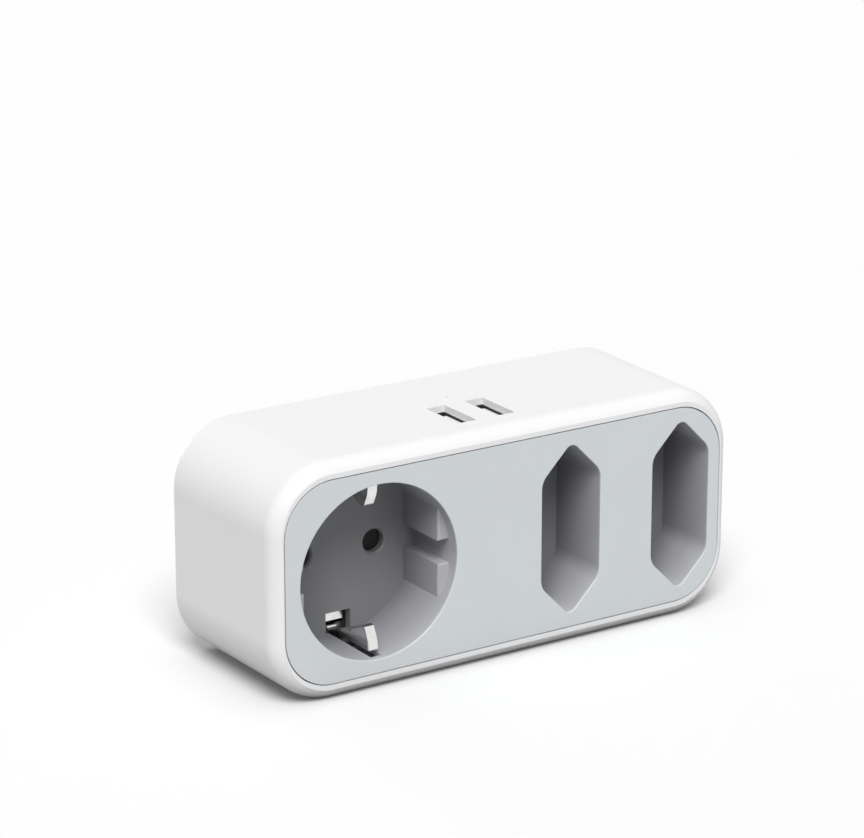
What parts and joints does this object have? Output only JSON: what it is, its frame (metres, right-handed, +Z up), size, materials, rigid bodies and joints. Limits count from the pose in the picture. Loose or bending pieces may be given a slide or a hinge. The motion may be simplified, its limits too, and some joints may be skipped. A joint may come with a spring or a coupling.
{
  "type": "travel adapter",
  "caption": "White travel adapter with a grounded plug, a round grounded socket, flat two-pin sockets and USB charging ports.",
  "frame": {"origin": "the middle of the flat face that it rests on, half way between its front and rear faces", "axes": "+X to the right seen from the front, +Y from the front panel to the plug, +Z up"},
  "size_m": [0.123, 0.0686, 0.054],
  "materials": {
    "shell_white": "satin moulded plastic",
    "panel_grey": "fine matt moulded plastic",
    "cover_white": "fine matt moulded plastic",
    "plated_metal": "nickel plated, bright",
    "brass_strip": "stamped brass",
    "steel_screw": "zinc plated steel",
    "black_plastic": "matt black plastic",
    "white_plastic": "white plastic insert",
    "board_green": "green solder mask",
    "sleeve_steel": "tin plated steel",
    "gold_plate": "gold plated",
    "ferrite": "dark ferrite",
    "winding_tape": "yellow tape over the winding",
    "can_sleeve": "dark shrink sleeve",
    "lamp_clear": "clear plastic",
    "red_insulation": "insulated wire",
    "blue_insulation": "insulated wire"
  },
  "bodies": {
    "housing": {"main_shell": "shell_white", "front_panel": "panel_grey", "rear_cover": "cover_white", "housing_screws": "steel_screw", "live_blade": "plated_metal", "neutral_blade": "plated_metal", "ground_pin": "plated_metal", "live_bus_bar": "brass_strip", "neutral_bus_bar": "brass_strip", "earth_bar": "plated_metal", "schuko_contact_left": "brass_strip", "schuko_contact_right": "brass_strip", "euro_contact_1": "brass_strip", "euro_contact_2": "brass_strip", "euro_contact_3": "brass_strip", "euro_contact_4": "brass_strip", "contact_carrier": "black_plastic", "shutter_pivot_screw": "steel_screw", "schuko_shutter_spring": "sleeve_steel", "euro_spring_left": "sleeve_steel", "euro_spring_right": "sleeve_steel", "shutter_guide": "black_plastic", "guide_screws": "steel_screw", "charger_board": "board_green", "board_screws": "steel_screw", "usb_shell_left": "sleeve_steel", "usb_shell_right": "sleeve_steel", "usb_tongue_left": "white_plastic", "usb_tongue_right": "white_plastic", "usb_contacts_left": "gold_plate", "usb_contacts_right": "gold_plate", "transformer_core": "ferrite", "transformer_winding": "winding_tape", "input_capacitors": "can_sleeve", "output_capacitor": "can_sleeve", "bridge_rectifier": "black_plastic", "controller_chip": "black_plastic", "fuse_resistor": "can_sleeve", "power_lamp": "lamp_clear", "light_pipe": "lamp_clear", "live_lead": "red_insulation", "neutral_lead": "blue_insulation"},
    "clip_top": {"earth_clip_top": "plated_metal"},
    "clip_bottom": {"earth_clip_bottom": "plated_metal"},
    "round_shutter": {"schuko_shutter": "black_plastic"},
    "flat_shutter_left": {"euro_shutter_left": "black_plastic"},
    "flat_shutter_right": {"euro_shutter_right": "black_plastic"}
  },
  "joints": [
    {"name": "clip_top_flex", "type": "hinge", "parent": "housing", "child": "clip_top", "pos_m": [-0.0339, -0.00035, 0.047], "axis": [-1, 0, 0], "range_deg": [0, 6], "stiffness_Nm_per_rad": 0.05, "springref_deg": -0.57},
    {"name": "clip_bottom_flex", "type": "hinge", "parent": "housing", "child": "clip_bottom", "pos_m": [-0.0339, -0.00035, 0.007], "axis": [1, 0, 0], "range_deg": [0, 6], "stiffness_Nm_per_rad": 0.05, "springref_deg": -0.57},
    {"name": "round_shutter_turn", "type": "hinge", "parent": "housing", "child": "round_shutter", "pos_m": [-0.0339, 0.0001, 0.027], "axis": [0, 1, 0], "range_deg": [0, 40], "stiffness_Nm_per_rad": 0.002, "springref_deg": -20.05, "deforming": ["schuko_shutter_spring"]},
    {"name": "flat_shutter_left_slide", "type": "slide", "parent": "housing", "child": "flat_shutter_left", "axis": [1, 0, 0], "range_m": [0, 0.0054], "stiffness_N_per_m": 50, "springref_m": -0.004, "deforming": ["euro_spring_left"]},
    {"name": "flat_shutter_right_slide", "type": "slide", "parent": "housing", "child": "flat_shutter_right", "axis": [-1, 0, 0], "range_m": [0, 0.0054], "stiffness_N_per_m": 50, "springref_m": -0.004, "deforming": ["euro_spring_right"]}
  ]
}
